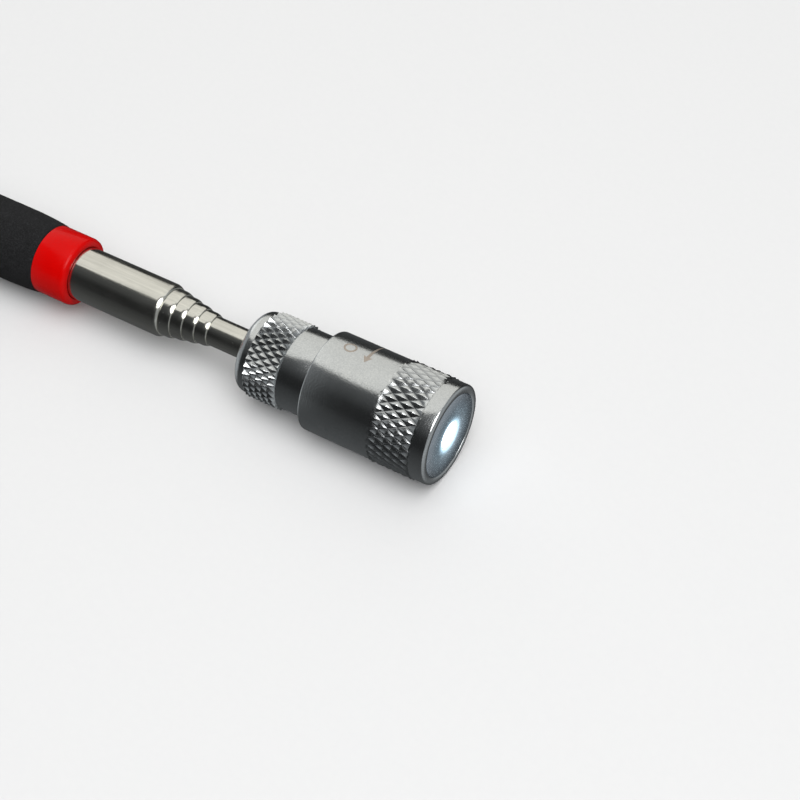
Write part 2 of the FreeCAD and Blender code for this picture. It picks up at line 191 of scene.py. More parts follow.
def knurl_band(bm, x_back, x_front, crest_r, plain_r):
    """A knurled tube wall between two places. Returns its two border loops, which lie on the plain radius."""
    rows = 2 * KNURL_TEETH
    band = bmesh.new()
    bmesh.ops.create_grid(band, x_segments=KNURL_COLUMNS, y_segments=rows, size=1.0)
    bmesh.ops.scale(band, vec=((x_front - x_back) / 2, math.pi * crest_r, 1.0), verts=band.verts[:])
    bmesh.ops.translate(band, vec=((x_front + x_back) / 2, 0.0, 0.0), verts=band.verts[:])
    step_x, step_y = (x_front - x_back) / KNURL_COLUMNS, 2 * math.pi * crest_r / rows

    def is_peak(vertex):
        across = round((vertex.co.x - x_back) / step_x)
        around = round((vertex.co.y + math.pi * crest_r) / step_y)
        return (across + around) % 2 == 0

    for face in band.faces[:]:
        low = [vertex for vertex in face.verts if not is_peak(vertex)]
        bmesh.utils.face_split(face, *low)
    peaks = [vertex for vertex in band.verts if is_peak(vertex)]
    for vertex in peaks:
        vertex.co.z = KNURL_DEPTH
    inner_peaks = [v for v in peaks if x_back + step_x / 2 < v.co.x < x_front - step_x / 2
                   and abs(v.co.y) < math.pi * crest_r - step_y / 2]
    bmesh.ops.bevel(band, geom=inner_peaks, offset=KNURL_TIP, offset_type="OFFSET", segments=1, profile=0.5,
                    affect="VERTICES", material=-1)
    root_r = crest_r - KNURL_DEPTH
    for vertex in band.verts:
        turn, r = vertex.co.y / crest_r, root_r + vertex.co.z
        vertex.co = (vertex.co.x, -r * math.sin(turn), r * math.cos(turn))
    bmesh.ops.remove_doubles(band, verts=band.verts[:], dist=SEAM_WELD)
    borders = []
    for x, way in ((x_back, -1), (x_front, 1)):
        rim = [e for e in band.edges if e.is_boundary and all(abs(v.co.x - x) < WELD for v in e.verts)]
        grown = bmesh.ops.extrude_edge_only(band, edges=rim)["geom"]
        for vertex in only(bmesh.types.BMVert, grown):
            size = plain_r / math.hypot(vertex.co.y, vertex.co.z)
            vertex.co = (x + way * RUN_OUT, vertex.co.y * size, vertex.co.z * size)
        outer = only(bmesh.types.BMEdge, grown)
        halves = bmesh.ops.subdivide_edges(band, edges=outer, cuts=1)["geom_inner"]
        for vertex in only(bmesh.types.BMVert, halves):
            size = plain_r / math.hypot(vertex.co.y, vertex.co.z)
            vertex.co.y *= size
            vertex.co.z *= size
        borders.append(x + way * RUN_OUT)
    add_to(bm, band)
    return borders


def join_rings(bm, x_one, x_two, r):
    """Bridges the open rings at two places on one radius."""
    def rim(x):
        return [e for e in bm.edges if e.is_boundary and all(
            abs(v.co.x - x) < WELD and abs(math.hypot(v.co.y, v.co.z) - r) < SEAM_WELD for v in e.verts)]
    bmesh.ops.bridge_loops(bm, edges=rim(x_one) + rim(x_two))


print("groove depth %.2f mm, %d teeth" % (KNURL_DEPTH / MM, KNURL_TEETH))

# %% [markdown]
# ## Lamp shell
#
# The shell is a plated turning: a narrow chamfered rim round the magnet, a plain band, the knurl you grip to switch
# the lamp, a long plain band and a small chamfer where it meets the barrel. Inside are the magnet's pocket, the web
# it sits on, the holder's seat, the thread's bore and the skirt. Its outline is left open where the knurl goes, and
# the knurled band closes it.

# %% Lamp shell
PLAIN_GAP = 0.35 * MM       # from the knurl's run-out to the first plain ring
SHELL_R = SHELL_KNURL_R - 0.25 * MM
SHELL_KNURL_FRONT = HEAD_FRONT - 3.0 * MM
SHELL_KNURL_BACK = SHELL_KNURL_FRONT - 7.9 * MM
THREAD_BORE_R = 7.12 * MM
SKIRT_BORE_R = 7.70 * MM
_, HOLDER_FRONT, HOLDER_R = span("led_holder")
THREAD_MOUTH = BARREL_FRONT + 0.4 * MM
SKIRT_STEP = SHELL_BACK + 3.0 * MM
LENS_BORE_R = 2.6 * MM


def lamp_shell():
    bm = bmesh.new()
    borders = knurl_band(bm, SHELL_KNURL_BACK, SHELL_KNURL_FRONT, SHELL_KNURL_R, SHELL_R)
    seat = MAGNET_R + SEAT_FIT
    corners = [(borders[1] + PLAIN_GAP, SHELL_R), (HEAD_FRONT, SHELL_R), (HEAD_FRONT, seat), (MAGNET_BACK, seat),
               (MAGNET_BACK, LENS_BORE_R), (HOLDER_FRONT, LENS_BORE_R), (HOLDER_FRONT, HOLDER_R + SEAT_FIT),
               (THREAD_MOUTH, HOLDER_R + SEAT_FIT), (THREAD_MOUTH, THREAD_BORE_R), (SKIRT_STEP, THREAD_BORE_R),
               (SKIRT_STEP, SKIRT_BORE_R), (SHELL_BACK, SKIRT_BORE_R), (SHELL_BACK, SHELL_R),
               (borders[0] - PLAIN_GAP, SHELL_R)]
    spin(bm, chain(bm, corners, closed=False))
    soften(bm, ring_edges(bm, *corners[1]), 0.45 * MM, 3)
    soften(bm, ring_edges(bm, *corners[2]), 0.12 * MM, 2)
    soften(bm, ring_edges(bm, *corners[12]), 0.32 * MM, 3)
    soften(bm, ring_edges(bm, *corners[11]), 0.08 * MM, 1)
    join_rings(bm, borders[1], borders[1] + PLAIN_GAP, SHELL_R)
    join_rings(bm, borders[0], borders[0] - PLAIN_GAP, SHELL_R)
    return finished(bm, "lamp_shell_turned", "lamp", "lamp_shell", slot="nickel_head")


shell = lamp_shell()

# %% [markdown]
# ## Battery barrel
#
# The barrel is turned from one bar: a well rounded back end with the socket for the mast, its own shorter knurl, a
# plain band, the groove of the sealing ring, and a thread that the lamp shell runs on. The thread's ridge is a small
# flat section carried round by the same spin operator, this time with a step along the axis for each step of the
# turn, which makes a true helix.

# %% Battery barrel
BARREL_R = BARREL_KNURL_R - 0.50 * MM
BARREL_BAND = (BARREL_BACK + 2.5 * MM, BARREL_BACK + 8.8 * MM)
CHAMBER_R = span("cell_sleeve")[2] + SLIDE_FIT
CHAMBER_FLOOR = span("contact_spring")[0]
SOCKET_FRONT, SOCKET_R = span("tube_6")[1], span("tube_6")[2] + SEAT_FIT
RING_BACK = span("o_ring")[0]
SHOULDER = SKIRT_STEP - 0.1 * MM
GROOVE_BACK, GROOVE_FRONT = RING_BACK - 0.12 * MM, SHOULDER - 0.7 * MM
GROOVE_R = SKIRT_BORE_R - 0.92 * MM
THREAD_BACK, THREAD_PITCH = BARREL_FRONT - 4.5 * MM, 1.0 * MM
THREAD_TURNS = 3.4
THREAD_CREST, THREAD_ROOT = THREAD_BORE_R - SLIDE_FIT, THREAD_BORE_R - 0.50 * MM


def thread_ridge(bm, steps=64):
    """One ridge wound along the thread. Its foot is sunk a little into the root."""
    x, foot = THREAD_BACK, THREAD_ROOT - 0.06 * MM
    section = chain(bm, [(x, foot), (x + 0.42 * MM, THREAD_CREST), (x + 0.58 * MM, THREAD_CREST),
                         (x + 1.0 * MM, foot)])
    face = bm.faces.new(only(bmesh.types.BMVert, section))
    bmesh.ops.spin(bm, geom=[face], cent=(0, 0, 0), axis=(1, 0, 0), dvec=(THREAD_PITCH / steps, 0, 0),
                   angle=2 * math.pi * THREAD_TURNS, steps=int(steps * THREAD_TURNS), use_merge=False,
                   use_duplicate=False)


def battery_barrel():
    bm = bmesh.new()
    borders = knurl_band(bm, *BARREL_BAND, BARREL_KNURL_R, BARREL_R)
    corners = [(borders[1] + PLAIN_GAP, BARREL_R), (GROOVE_BACK, BARREL_R), (GROOVE_BACK, GROOVE_R),
               (GROOVE_FRONT, GROOVE_R), (GROOVE_FRONT, BARREL_R), (SHOULDER, BARREL_R), (SHOULDER, THREAD_ROOT),
               (BARREL_FRONT, THREAD_ROOT), (BARREL_FRONT, CHAMBER_R), (CHAMBER_FLOOR, CHAMBER_R),
               (CHAMBER_FLOOR, 0.0), (SOCKET_FRONT, 0.0), (SOCKET_FRONT, SOCKET_R), (BARREL_BACK, SOCKET_R),
               (BARREL_BACK, BARREL_R), (borders[0] - PLAIN_GAP, BARREL_R)]
    spin(bm, chain(bm, corners, closed=False))
    soften(bm, ring_edges(bm, *corners[14]), 1.45 * MM, 7)
    soften(bm, ring_edges(bm, *corners[13]), 0.15 * MM, 2)
    for corner in (1, 4, 5, 7):
        soften(bm, ring_edges(bm, *corners[corner]), 0.10 * MM, 2)
    join_rings(bm, borders[1], borders[1] + PLAIN_GAP, BARREL_R)
    join_rings(bm, borders[0], borders[0] - PLAIN_GAP, BARREL_R)
    thread_ridge(bm)
    return finished(bm, "battery_barrel_turned", "head", "battery_barrel", slot="nickel_head")


barrel = battery_barrel()

# %% [markdown]
# ## Mast tubes
#
# Each tube's front end is rolled in with a swage so that the next tube can't come out. The rolled end is an arc that
# leaves the wall smoothly, and it is what catches the light in front of each step. The arc comes from one corner:
# its bevel is as wide as the tangents of the arc are long. At the back each tube has the neck that its friction
# sleeve sits on, so the tubes look right inside as well when the mast is drawn out.

# %% Mast tubes
SWAGE_LENGTH = 1.1 * MM
SWAGE_EDGE = 0.10 * MM      # left at the tip of a rolled-in end
OUTER_WALL, INNER_WALL = 0.45 * MM, 0.30 * MM
TUBES = ["outer_tube"] + ["tube_%d" % number for number in range(2, 7)]


def swaged_corner(front, r, tip):
    """Corner and bevel width of an arc from the wall, one swage length back, to the tip."""
    half = math.atan2(r - tip, SWAGE_LENGTH)
    tangent = SWAGE_LENGTH / math.sin(2 * half) * math.tan(half)
    return (front - SWAGE_LENGTH + tangent, r), 0.985 * tangent


def mast_tube(number):
    """A tube of the mast, counted from 0 at the handle."""
    node = TUBES[number]
    back, front, r = span(node)
    body = "handle" if number == 0 else "head" if number == 5 else "stage_%d" % (number + 1)
    wall = OUTER_WALL if number == 0 else INNER_WALL
    bore, rounds = r - wall, {}
    if number == 0:
        corners = [(back, bore), (back, r)]
        inside = []
    else:
        sleeve_back, sleeve_front, sleeve_r = span("friction_sleeve_%d" % (number + 1))
        neck_r = sleeve_r - (0.26 if number == 5 else 0.24) * MM
        neck_front = sleeve_front + SEAT_FIT
        corners = [(back, neck_r - wall), (back, r), (sleeve_back, r), (sleeve_back, neck_r),
                   (neck_front, neck_r), (neck_front, r)]
        inside = [(neck_front + wall, bore), (neck_front + wall, neck_r - wall)]
    if number == 5:
        corners += [(front, r), (front, bore)]
    else:
        mouth = span(TUBES[number + 1])[2] + SLIDE_FIT
        tip = mouth + SWAGE_EDGE
        corner, width = swaged_corner(front, r, tip)
        rounds = {len(corners): width, len(corners) + 1: SWAGE_EDGE / 2}
        corners += [corner, (front, tip), (front, mouth), (front - SWAGE_LENGTH, mouth), (front - SWAGE_LENGTH, bore)]
    bm = bmesh.new()
    spin(bm, chain(bm, corners + inside), 120)
    for at, width in rounds.items():
        soften(bm, ring_edges(bm, *corners[at]), width, 8 if width > SWAGE_EDGE else 2)
    return finished(bm, node + "_swaged", body, node, slot="polished_tube")


tubes = [mast_tube(number) for number in range(6)]

# %% [markdown]
# ## Foam grip
#
# The grip is a foam sleeve, ground to size, so its skin is nearly straight but never quite true, and the collar
# pinches it in at the front. The side is divided finely enough to be pushed in and out by a soft noise of a few
# hundredths of a millimetre. The finer grain of the foam's cells is left to the material.

# %% Foam grip
FOAM_PINCH = 0.45 * MM
FOAM_BORE_R = span("outer_tube")[2] + SEAT_FIT


def foam_grip():
    bm = bmesh.new()
    pinch = [(FOAM_FRONT, FOAM_R - FOAM_PINCH), (FOAM_FRONT - 2.1 * MM, FOAM_R - 0.42 * FOAM_PINCH),
             (FOAM_FRONT - 6.0 * MM, FOAM_R)]
    corners = [(FOAM_BACK, FOAM_BORE_R), (FOAM_BACK, FOAM_R)] + pinch[::-1] + [(FOAM_FRONT, FOAM_BORE_R)]
    spin(bm, chain(bm, corners), 128)
    soften(bm, ring_edges(bm, *corners[1]), 0.9 * MM, 4)
    soften(bm, ring_edges(bm, *corners[3]), 1.4 * MM, 3)
    soften(bm, ring_edges(bm, *corners[4]), 0.35 * MM, 3)
    side = [e for e in bm.edges if e.calc_length() > 60 * MM
            and math.hypot(e.verts[0].co.y, e.verts[0].co.z) > FOAM_R - 0.5 * MM]
    bmesh.ops.subdivide_edges(bm, edges=side, cuts=90, use_grid_fill=True)
    for vertex in bm.verts:
        r = math.hypot(vertex.co.y, vertex.co.z)
        if r > FOAM_R - 0.6 * MM and FOAM_BACK + 1.5 * MM < vertex.co.x < FOAM_FRONT - 0.6 * MM:
            lump = noise.noise(vertex.co / (3.1 * MM)) + 0.5 * noise.noise(vertex.co / (1.3 * MM))
            size = 1 - (0.02 + 0.02 * lump) * MM / r
            vertex.co.y, vertex.co.z = vertex.co.y * size, vertex.co.z * size
    return finished(bm, "foam_grip_sleeve", "handle", "foam_grip", slot="foam")


foam = foam_grip()

# %% [markdown]
# ## Front collar
#
# The collar is a moulded ring pushed over the tube against the foam. Its front lip is well rounded and rolls in to
# the tube, which leaves a fine dark line where they meet.

# %% Front collar
collar = turned("front_collar_moulded", "handle",
                [(COLLAR_BACK, FOAM_BORE_R), (COLLAR_BACK, COLLAR_R), (COLLAR_FRONT, COLLAR_R),
                 (COLLAR_FRONT, FOAM_BORE_R)],
                {1: 0.12 * MM, 2: 1.02 * MM, 3: 0.22 * MM}, "front_collar", slot="red_plastic")

# %% [markdown]
# ## End cap
#
# The cap closes the handle's back end: a spigot in the tube, a flange as wide as the foam, and a flat tab with a
# hole to hang the tool up by. The round parts are turned. The tab starts as a flat outline with its hole, which is
# filled, pushed up to its thickness and rounded along every rim, as a mould would leave it.

# %% End cap
TAB_HALF, TAB_THICK, HANG_R = 5.0 * MM, 3.0 * MM, 2.25 * MM
CAP_FACE = CAP_BACK + 9.0 * MM
HANG_X = CAP_BACK + TAB_HALF


def end_cap():
    bm = bmesh.new()
    spigot_r = span("outer_tube")[2] - 0.47 * MM
    corners = [(CAP_FACE, 0.0), (CAP_FACE, CAP_R), (FOAM_BACK, CAP_R), (FOAM_BACK, spigot_r), (CAP_FRONT, spigot_r),
               (CAP_FRONT, 0.0)]
    spin(bm, chain(bm, corners, closed=False))
    soften(bm, ring_edges(bm, *corners[1]), 0.95 * MM, 5)
    soften(bm, ring_edges(bm, *corners[2]), 0.15 * MM, 2)
    soften(bm, ring_edges(bm, *corners[4]), 0.4 * MM, 2)
    tab = bmesh.new()
    low = -TAB_THICK / 2
    first = tab.verts.new((HANG_X, -TAB_HALF, low))
    bmesh.ops.spin(tab, geom=[first], cent=(HANG_X, 0, low), axis=(0, 0, 1), dvec=(0, 0, 0), angle=-math.pi,
                   steps=40)
    tab.verts.ensure_lookup_table()
    last = tab.verts[-1]
    flare = [(CAP_FACE - 1.6 * MM, TAB_HALF), (CAP_FACE - 0.5 * MM, TAB_HALF + 0.28 * MM),
             (CAP_FACE + 0.6 * MM, TAB_HALF + 0.9 * MM)]
    foot = [tab.verts.new((x, y, low)) for x, y in flare + [(x, -y) for x, y in flare[::-1]]]
    for pair in zip([last] + foot, foot + [first]):
        tab.edges.new(pair)
    bmesh.ops.create_circle(tab, cap_ends=False, radius=HANG_R, segments=48,
                            matrix=Matrix.Translation((HANG_X, 0, low)))
    bmesh.ops.triangle_fill(tab, edges=tab.edges[:], use_beauty=True, use_dissolve=False)
    up = bmesh.ops.extrude_face_region(tab, geom=tab.faces[:], use_keep_orig=True)["geom"]
    bmesh.ops.translate(tab, vec=(0, 0, TAB_THICK), verts=only(bmesh.types.BMVert, up))
    bmesh.ops.recalc_face_normals(tab, faces=tab.faces[:])
    rims = [e for e in tab.edges if len(e.link_faces) == 2 and e.calc_face_angle() > math.radians(60)
            and e.verts[0].co.z == e.verts[1].co.z]
    soften(tab, rims, 0.55 * MM, 4)
    add_to(bm, tab)
    return finished(bm, "end_cap_moulded", "handle", "end_cap", slot="red_plastic")


cap = end_cap()

# %% [markdown]
# ## Ring magnet and lamp
#
# The magnet is a plated ring pressed into the shell's pocket, its face level with the rim, with small rounded edges.
# The lamp in its middle is a round-topped lens on a flange. The dome's outline is a point turned through a quarter
# circle, which then joins the outline that is spun.

# %% Ring magnet and lamp lens
magnet = turned("magnet_ring_plated", "lamp",
                [(MAGNET_BACK, LENS_BORE_R), (MAGNET_BACK, MAGNET_R), (MAGNET_FRONT, MAGNET_R),
                 (MAGNET_FRONT, LENS_BORE_R)],
                {1: 0.2 * MM, 2: 0.22 * MM, 3: 0.3 * MM}, "magnet_ring", slot="magnet_plate")


def lamp_lens():
    bm = bmesh.new()
    back, tip, flange_r = span("led")
    lens_r, flange_front = 2.5 * MM, back + 1.0 * MM
    edge = bm.verts.new((tip - lens_r, 0.0, lens_r))
    bmesh.ops.spin(bm, geom=[edge], cent=(tip - lens_r, 0, 0), axis=(0, 1, 0), dvec=(0, 0, 0), angle=math.pi / 2,
                   steps=14)
    chain(bm, [(back, 0.0), (back, flange_r), (flange_front, flange_r), (flange_front, lens_r),
               (tip - lens_r, lens_r)], closed=False)
    bmesh.ops.remove_doubles(bm, verts=bm.verts[:], dist=WELD)
    for vertex in bm.verts:
        if vertex.co.z < WELD:
            vertex.co.z = 0.0
    spin(bm, bm.verts[:] + bm.edges[:], 96)
    return finished(bm, "led_lens", "lamp", "led", slot="lamp_lens")


lens = lamp_lens()

# %% [markdown]
# ## Marks on the shell
#
# A small arrow is etched round the shell to show which way it unscrews, with a plain ring beside it. Each mark is
# drawn flat, pushed up to the thickness of a film, and then wrapped round the shell's radius so that it stands
# a hundredth of a millimetre proud. Flat coordinates run along the tool and round it.

# %% Arrow and ring
MARK_X, RING_X = HEAD_FRONT - 16.8 * MM, HEAD_FRONT - 20.6 * MM
MARK_THICK, MARK_SUNK = 0.03 * MM, 0.02 * MM


def wrapped(bm, name):
    """Thickens a flat drawing and lays it on the shell."""
    up = bmesh.ops.extrude_face_region(bm, geom=bm.faces[:], use_keep_orig=True)["geom"]
    bmesh.ops.translate(bm, vec=(0, 0, MARK_THICK), verts=only(bmesh.types.BMVert, up))
    for vertex in bm.verts:
        turn, r = vertex.co.y / SHELL_R, SHELL_R - MARK_SUNK + vertex.co.z
        vertex.co = (vertex.co.x, -r * math.sin(turn), r * math.cos(turn))
    return finished(bm, name, "lamp", "lamp_shell", slot="nickel_head")


def round_angle(degrees):
    """Distance round the shell from its top, towards -Y."""
    return math.radians(degrees) * SHELL_R


def arrow():
    bm = bmesh.new()
    tail, neck, tip = round_angle(-42), round_angle(-6), round_angle(1.5)
    bmesh.ops.create_grid(bm, x_segments=1, y_segments=26, size=0.5)
    for vertex in bm.verts:
        along = vertex.co.y + 0.5
        width = (0.20 + 0.40 * along) * MM
        vertex.co = (MARK_X + vertex.co.x * width, tail + along * (neck - tail), 0.0)
    head = bmesh.ops.create_grid(bm, x_segments=6, y_segments=8, size=0.5)["verts"]
    for vertex in head:
        along = vertex.co.y + 0.5
        width = (1.75 - 1.70 * along) * MM
        barb = (1 - along) * abs(vertex.co.x) * 0.5 * MM
        vertex.co = (MARK_X + vertex.co.x * width, neck + along * (tip - neck) - barb, 0.0)
    return wrapped(bm, "shell_arrow")


def ring_mark():
    bm = bmesh.new()
    place = Matrix.Translation((RING_X, round_angle(-10), 0))
    for radius in (1.20 * MM, 0.85 * MM):
        bmesh.ops.create_circle(bm, cap_ends=False, radius=radius, segments=44, matrix=place)
    bmesh.ops.bridge_loops(bm, edges=bm.edges[:])
    return wrapped(bm, "shell_ring_mark")


marks = [arrow(), ring_mark()]

# %% [markdown]
# ## Writing materials as sums
#
# A material is a sheet of nodes, and most of them are small sums. One class wraps a node's output so that Python's
# own signs add the Math nodes, and another holds the material. Any node that isn't a sum comes from one method, which
# takes its type, its settings and what goes into its sockets. Every pattern reads Object coordinates, moved to the
# mast's axis and counted in millimetres, so the numbers below are real sizes.


# %% Node outputs that can be added and multiplied
class Amount:
    """What comes out of a node, for use in sums such as 1 - mask."""

    def __init__(self, finish, socket):
        self.finish, self.socket = finish, socket

    def __add__(self, other):
        return self.finish.maths("ADD", self, other)

    def __sub__(self, other):
        return self.finish.maths("SUBTRACT", self, other)

    def __rsub__(self, other):
        return self.finish.maths("SUBTRACT", other, self)

    def __mul__(self, other):
        return self.finish.maths("MULTIPLY", self, other)

    def __truediv__(self, other):
        return self.finish.maths("DIVIDE", self, other)

    def __pow__(self, other):
        return self.finish.maths("POWER", self, other)

    __radd__, __rmul__ = __add__, __mul__

    def held(self):
        """Kept between 0 and 1."""
        return self.finish.node("Clamp", {}, {"Value": self})


class Finish:
    """One material. What is the same all over goes straight on the shader's sockets."""

    def __init__(self, name, **sockets):
        self.material = bpy.data.materials.new(name)
        self.material.use_nodes = True
        self.tree = self.material.node_tree
        self.shader = self.tree.nodes["Principled BSDF"]
        for key, value in sockets.items():
            self.shader.inputs[key.replace("_", " ")].default_value = value
        row = self.node("TexCoord", {}, {}, "Object")
        self.place = self.node("Mapping", {"vector_type": "POINT"}, {
            "Vector": row, "Location": (0, 0, -AXIS_Z / MM), "Scale": (1 / MM, 1 / MM, 1 / MM)})
        self.x, self.y, self.z = (self.node("SeparateXYZ", {}, {"Vector": self.place}, axis) for axis in "XYZ")
        self.r = (self.y * self.y + self.z * self.z) ** 0.5

    def node(self, kind, settings, sockets, out=0):
        made = self.tree.nodes.new("ShaderNode" + kind)
        for name, value in settings.items():
            if name == "stops":
                while len(made.color_ramp.elements) < len(value):
                    made.color_ramp.elements.new(0.5)
                for stop, (position, colour) in zip(made.color_ramp.elements, value):
                    stop.position, stop.color = position, colour
            else:
                setattr(made, name, value)
        for name, value in sockets.items():
            if isinstance(value, Amount):
                self.tree.links.new(value.socket, made.inputs[name])
            else:
                made.inputs[name].default_value = value
        return Amount(self, made.outputs[out])

    def maths(self, sign, one, other):
        return self.node("Math", {"operation": sign}, {0: one, 1: other})

    def mix(self, mask, one, other):
        """A colour between two, by a mask."""
        one, other = (value if isinstance(value, Amount) else (*value, 1.0) for value in (one, other))
        return self.node("Mix", {"data_type": "RGBA"}, {0: mask, 6: one, 7: other}, 2)

    def grain(self, size, detail=2.0, stretch=(1, 1, 1)):
        """Noise whose lumps are about one size in millimetres, before stretching."""
        place = self.node("VectorMath", {"operation": "MULTIPLY"}, {0: self.place, 1: stretch})
        return self.node("TexNoise", {}, {"Vector": place, "Scale": 1 / size, "Detail": detail})

    def step(self, value, start, end):
        """0 before start, 1 after end, smooth between."""
        return self.node("MapRange", {"interpolation_type": "SMOOTHSTEP"},
                         {"Value": value, "From Min": start, "From Max": end})

    def feed(self, **values):
        for key, value in values.items():
            self.tree.links.new(value.socket, self.shader.inputs[key.replace("_", " ")])

    def relief(self, height):
        """Bumps whose height is in millimetres."""
        self.feed(Normal=self.node("Bump", {}, {"Height": height, "Strength": 1.0, "Distance": MM}))


def dress(finish, *pieces):
    """Puts a material on made pieces and on nodes that are kept as they are."""
    for piece in pieces:
        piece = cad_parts[piece] if isinstance(piece, str) else piece
        if not piece.material_slots:
            piece.data.materials.append(finish.material)
        for slot in piece.material_slots:
            slot.material = finish.material
    print("%-18s on %d pieces, %d nodes" % (finish.material.name, len(pieces), len(finish.tree.nodes)))


print("materials count from an axis %.2f mm up" % (AXIS_Z / MM))


# %% [markdown]
# ## Polished tube
#
# The mast is drawn tube, plated and polished, a little warm in colour. Drawing leaves very fine lines along the
# tube, and handling leaves faint hazy patches. The lines show in the colour, in the roughness and as a slight relief.
# They are deeper here than on real tube, because fine ones would be lost at this distance.

# %% Polished tube
def polished_tube():
    tube = Finish("polished_tube", Metallic=1.0)
    lines, waves = tube.grain(0.35, 4, (0.03, 1, 1)), tube.grain(1.4, 2, (0.07, 1, 1))
    haze = tube.step(tube.grain(3.0, 3, (0.35, 1, 1)), 0.42, 0.75)
    pores = tube.grain(0.12, 2)
    specks = tube.step(tube.grain(0.5, 2), 0.70, 0.80)
    shade = (lines * 0.75 + haze * 0.25 + pores * 0.35 - 0.10).held()
    tube.feed(Base_Color=tube.mix(shade, (0.87, 0.86, 0.79), (0.60, 0.59, 0.54)),
              Roughness=0.07 + 0.16 * lines + 0.08 * haze + 0.10 * specks)
    tube.relief(lines * 0.014 + waves * 0.030 + pores * 0.003)
    return tube


dress(polished_tube(), *tubes)

# %% [markdown]
# ## Nickel on the head
#
# The shell and the barrel are turned, knurled and plated in satin nickel. The tool's marks run round them, so their
# noise is short along the mast and drawn out across it. A fine grain breaks up the highlights. The bottoms of
# the knurl are duller and painted darker as shade, and its edges rub bright.

# %% Nickel
def nickel(name, band_back, band_front, crest_r):
    plate = Finish(name, Metallic=1.0)
    turning = plate.grain(0.16, 3, (1, 0.02, 0.02))
    cloud = plate.grain(3.0, 3)
    in_band = plate.step(plate.x, band_back - 0.1, band_back) * (
        1 - plate.step(plate.x, band_front, band_front + 0.1))
    low = in_band * (1 - plate.step(plate.r, crest_r - 0.44, crest_r - 0.24))
    worn = in_band * plate.step(plate.r, crest_r - 0.14, crest_r - 0.02)
    specks = plate.grain(0.26, 3)
    base = plate.mix((cloud * 0.3 + specks * 0.9 - 0.1).held(), (0.80, 0.82, 0.81), (0.50, 0.52, 0.53))
    # painted shade: the knurl's groove bottoms are darkened in the colour
    base = plate.mix(low * 0.65, base, (0.30, 0.31, 0.32))
    plate.feed(Base_Color=plate.mix(worn * 0.8, base, (0.93, 0.94, 0.94)),
               Roughness=0.08 + 0.06 * turning + 0.16 * specks + 0.08 * low - 0.06 * worn)
    plate.relief(turning * 0.0020 + specks * 0.010 + cloud * 0.0012)
    return plate


dress(nickel("shell_nickel", SHELL_KNURL_BACK / MM, SHELL_KNURL_FRONT / MM, SHELL_KNURL_R / MM), shell)
dress(nickel("barrel_nickel", BARREL_BAND[0] / MM, BARREL_BAND[1] / MM, BARREL_KNURL_R / MM), barrel)

# %% [markdown]
# ## Magnet and lamp
#
# The magnet's plate is bright and cool and faced with fine rings. A pale blue light from the lamp beside it is painted
# on it as emission. The lens is lit from within: nearly white over its top and bluer towards its foot.

# %% Magnet plate and lit lens
def magnet_plate():
    plate = Finish("magnet_plate", Metallic=1.0, Emission_Strength=1.5)
    rings = plate.node("TexNoise", {"noise_dimensions": "1D"}, {"W": plate.r, "Scale": 9.0, "Detail": 3.0})
    cloud = plate.grain(1.6, 3)
    dust = plate.step(plate.grain(0.22, 3), 0.56, 0.72)
    base = plate.mix(cloud * 0.7 + rings * 0.4, (0.72, 0.77, 0.82), (0.40, 0.45, 0.51))
    plate.feed(Base_Color=plate.mix(dust * 0.8, base, (0.93, 0.95, 0.97)),
               Roughness=0.08 + 0.10 * rings + 0.10 * cloud + 0.25 * dust)
    # painted light: the lamp's blue light on the magnet's face, painted as emission on a part that is no lamp
    near, far = 1 - plate.step(plate.r, 2.2, 4.8), 1 - plate.step(plate.r, 2.0, 8.6)
    face = plate.step(plate.x, HEAD_FRONT / MM - 0.7, HEAD_FRONT / MM - 0.2)
    painted_lamp_glow = (near ** 3 + far * (0.06 + 0.09 * cloud) + far * dust * 0.25) * face
    plate.feed(Emission_Color=plate.mix(painted_lamp_glow.held(), (0.0, 0.0, 0.0), (0.55, 0.82, 1.0)))
    plate.relief(rings * 0.003 + dust * 0.004)
    return plate


def lit_lens():
    glass = Finish("lit_lens", Base_Color=(0.9, 0.95, 1.0, 1.0), Roughness=0.08, Emission_Strength=6.0)
    edge = glass.step(glass.r, 2.2, 2.55)
    swirl = glass.grain(0.8, 2)
    glass.feed(Emission_Color=glass.mix((edge + 0.15 * swirl).held(), (1.0, 1.0, 1.0), (0.10, 0.20, 0.27)))
    glass.relief(swirl * 0.002)
    return glass


dress(magnet_plate(), magnet)
dress(lit_lens(), lens)

# %% [markdown]
# ## Foam and red plastic
#
# The foam is closed cells cut through by grinding: small walls, a little paler than the pits between them, which are
# painted darker as shade. Two sizes of noise make the grain, and it shows in the colour as well as in the relief. The
# plastic is a strong glossy red with the faint unevenness of a moulding.

# %% Foam and plastic
def ground_foam():
    skin = Finish("ground_foam", Specular_IOR_Level=0.28)
    cells, fine, patch = skin.grain(0.30, 4), skin.grain(0.13, 3), skin.grain(2.6, 3)
    wall = skin.step(cells * 0.55 + fine * 0.45, 0.44, 0.62)
    # painted shade: the pits between the raised cell walls are darker in the colour
    skin.feed(Base_Color=skin.mix((wall * 0.75 + patch * 0.35).held(), (0.002, 0.002, 0.0023),
                                  (0.018, 0.0184, 0.0195)),
              Roughness=0.80 + 0.15 * wall)
    skin.relief(wall * 0.06 + fine * 0.05)
    return skin


def red_plastic():
    gloss = Finish("red_plastic", Specular_IOR_Level=0.12)
    flow, orange_peel = gloss.grain(2.2, 2), gloss.grain(0.5, 2)
    scuffs = gloss.step(gloss.grain(0.35, 4, (1, 0.3, 0.3)), 0.66, 0.76)
    gloss.feed(Base_Color=gloss.mix(flow * 0.7, (0.44, 0.0008, 0.0005), (0.37, 0.0005, 0.0004)),
               Roughness=0.20 + 0.06 * flow + 0.14 * scuffs)
    gloss.relief(orange_peel * 0.004)
    return gloss


dress(ground_foam(), foam)
dress(red_plastic(), collar, cap)

# %% [markdown]
# ## Etched marks
#
# The marks are burnt dark by a laser, which leaves a dull, slightly speckled brownish grey rather than
# paint, so they are faint beside the bright plate.

